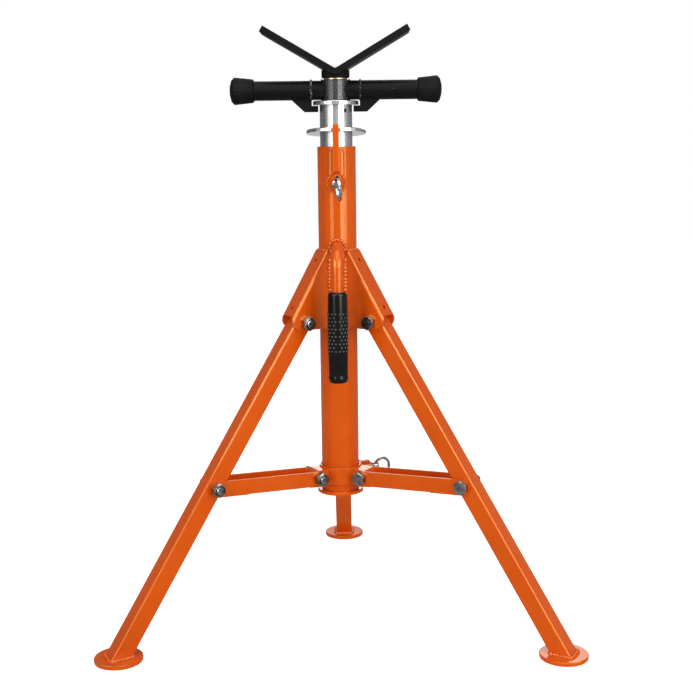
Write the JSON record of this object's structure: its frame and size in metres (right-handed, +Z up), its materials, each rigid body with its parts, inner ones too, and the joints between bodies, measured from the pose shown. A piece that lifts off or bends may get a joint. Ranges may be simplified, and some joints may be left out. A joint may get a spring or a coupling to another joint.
{
  "type": "pipe jack stand",
  "caption": "Folding tripod jack stand with a telescoping post, a screw with two handles and a V head that holds a pipe.",
  "frame": {"origin": "on the floor under the middle of the bounding box, with the post axis at y = -0.0778 m", "axes": "+Z up along the post, -Y to the front with the carry handle and the front plunger, +X to the right along the handles"},
  "size_m": [0.5982, 0.526, 0.7568],
  "materials": {
    "orange_powder_coat": "glossy powder coat",
    "bright_steel": "bright drawn tube",
    "zinc_steel": "zinc plated",
    "black_paint": "satin to gloss black",
    "black_rubber": "matt moulded"
  },
  "bodies": {
    "post": {"outer_tube": "orange_powder_coat", "bottom_stop_ring": "orange_powder_coat", "guide_plate": "orange_powder_coat", "front_plunger_boss": "orange_powder_coat", "carry_handle": "orange_powder_coat", "handle_grip": "black_rubber", "leg_bracket_1": "orange_powder_coat", "leg_bracket_2": "orange_powder_coat", "leg_bracket_3": "orange_powder_coat", "leg_bolt_1": "zinc_steel", "leg_bolt_2": "zinc_steel", "leg_bolt_3": "zinc_steel", "leg_nut_1": "zinc_steel", "leg_nut_2": "zinc_steel", "leg_nut_3": "zinc_steel"},
    "telescoping_tube": {"inner_tube": "bright_steel", "top_flange": "bright_steel", "guide_ring": "bright_steel", "guide_pin": "zinc_steel"},
    "lifting_head": {"v_plate": "black_paint", "head_block": "black_paint", "jack_screw": "zinc_steel"},
    "turning_nut": {"nut_hub": "black_paint", "handle_arm_left": "black_paint", "handle_arm_right": "black_paint", "hook_plate_left": "black_paint", "hook_plate_right": "black_paint", "end_cap_left": "black_rubber", "end_cap_right": "black_rubber"},
    "collar": {"slide_collar": "orange_powder_coat", "collar_plunger_boss": "orange_powder_coat", "collar_bolt_1": "zinc_steel", "collar_bolt_2": "zinc_steel", "collar_bolt_3": "zinc_steel", "collar_nut_1": "zinc_steel", "collar_nut_2": "zinc_steel", "collar_nut_3": "zinc_steel"},
    "front_plunger": {"front_plunger_pin": "zinc_steel"},
    "collar_plunger": {"collar_plunger_pin": "zinc_steel"},
    "front_ring": {"front_pull_ring": "zinc_steel"},
    "collar_ring": {"collar_pull_ring": "zinc_steel"},
    "leg_1": {"leg_tube_1": "orange_powder_coat", "foot_disc_1": "orange_powder_coat", "brace_bolt_1": "zinc_steel", "brace_nut_1": "zinc_steel"},
    "brace_1_body": {"brace_1": "orange_powder_coat"},
    "leg_2": {"leg_tube_2": "orange_powder_coat", "foot_disc_2": "orange_powder_coat", "brace_bolt_2": "zinc_steel", "brace_nut_2": "zinc_steel"},
    "brace_2_body": {"brace_2": "orange_powder_coat"},
    "leg_3": {"leg_tube_3": "orange_powder_coat", "foot_disc_3": "orange_powder_coat", "brace_bolt_3": "zinc_steel", "brace_nut_3": "zinc_steel"},
    "brace_3_body": {"brace_3": "orange_powder_coat"}
  },
  "joints": [
    {"name": "inner_slide", "type": "slide", "parent": "post", "child": "telescoping_tube", "axis": [0, 0, 1], "range_m": [0, 0.375]},
    {"name": "nut_spin", "type": "hinge", "parent": "telescoping_tube", "child": "turning_nut", "pos_m": [0, -0.07777, 0.68], "axis": [0, 0, 1], "range_deg": [-16920, 0]},
    {"name": "head_lift", "type": "slide", "parent": "telescoping_tube", "child": "lifting_head", "axis": [0, 0, 1], "range_m": [0, 0.235]},
    {"name": "collar_slide", "type": "slide", "parent": "post", "child": "collar", "axis": [0, 0, 1], "range_m": [0, 0.10401]},
    {"name": "leg_1_hinge", "type": "hinge", "parent": "post", "child": "leg_1", "pos_m": [-0.04633, -0.10452, 0.393], "axis": [0.5, -0.866, 0], "range_deg": [0, 21.31]},
    {"name": "brace_1_hinge", "type": "hinge", "parent": "collar", "child": "brace_1_body", "pos_m": [-0.03291, -0.09677, 0.1895], "axis": [0.5, -0.866, 0], "range_deg": [0, 67.29]},
    {"name": "leg_2_hinge", "type": "hinge", "parent": "post", "child": "leg_2", "pos_m": [0.04633, -0.10452, 0.393], "axis": [0.5, 0.866, 0], "range_deg": [0, 21.31]},
    {"name": "brace_2_hinge", "type": "hinge", "parent": "collar", "child": "brace_2_body", "pos_m": [0.03291, -0.09677, 0.1895], "axis": [0.5, 0.866, 0], "range_deg": [0, 67.29]},
    {"name": "leg_3_hinge", "type": "hinge", "parent": "post", "child": "leg_3", "pos_m": [0, -0.02427, 0.393], "axis": [-1, 0, 0], "range_deg": [0, 21.31]},
    {"name": "brace_3_hinge", "type": "hinge", "parent": "collar", "child": "brace_3_body", "pos_m": [0, -0.03977, 0.1895], "axis": [-1, 0, 0], "range_deg": [0, 67.29]},
    {"name": "front_plunger_slide", "type": "slide", "parent": "post", "child": "front_plunger", "axis": [0, -1, 0], "range_m": [-0.003, 0.005], "stiffness_N_per_m": 400},
    {"name": "front_ring_hinge", "type": "hinge", "parent": "front_plunger", "child": "front_ring", "pos_m": [0, -0.12477, 0.5657], "axis": [0, 0, 1], "range_deg": [-15, 15]},
    {"name": "collar_plunger_slide", "type": "slide", "parent": "collar", "child": "collar_plunger", "axis": [0.866, 0.5, 0], "range_m": [-0.003, 0.005], "stiffness_N_per_m": 400},
    {"name": "collar_ring_hinge", "type": "hinge", "parent": "collar_plunger", "child": "collar_ring", "pos_m": [0.04408, -0.05232, 0.19], "axis": [0, 0, 1], "range_deg": [-15, 15]}
  ],
  "couplings": [
    {"joint": "head_lift", "follows": "nut_spin", "m_per_rad": -0.00079577},
    {"joint": "leg_1_hinge", "follows": "collar_slide", "rad_per_m": 3.576},
    {"joint": "brace_1_hinge", "follows": "collar_slide", "rad_per_m": 11.292},
    {"joint": "leg_2_hinge", "follows": "collar_slide", "rad_per_m": 3.576},
    {"joint": "brace_2_hinge", "follows": "collar_slide", "rad_per_m": 11.292},
    {"joint": "leg_3_hinge", "follows": "collar_slide", "rad_per_m": 3.576},
    {"joint": "brace_3_hinge", "follows": "collar_slide", "rad_per_m": 11.292}
  ]
}
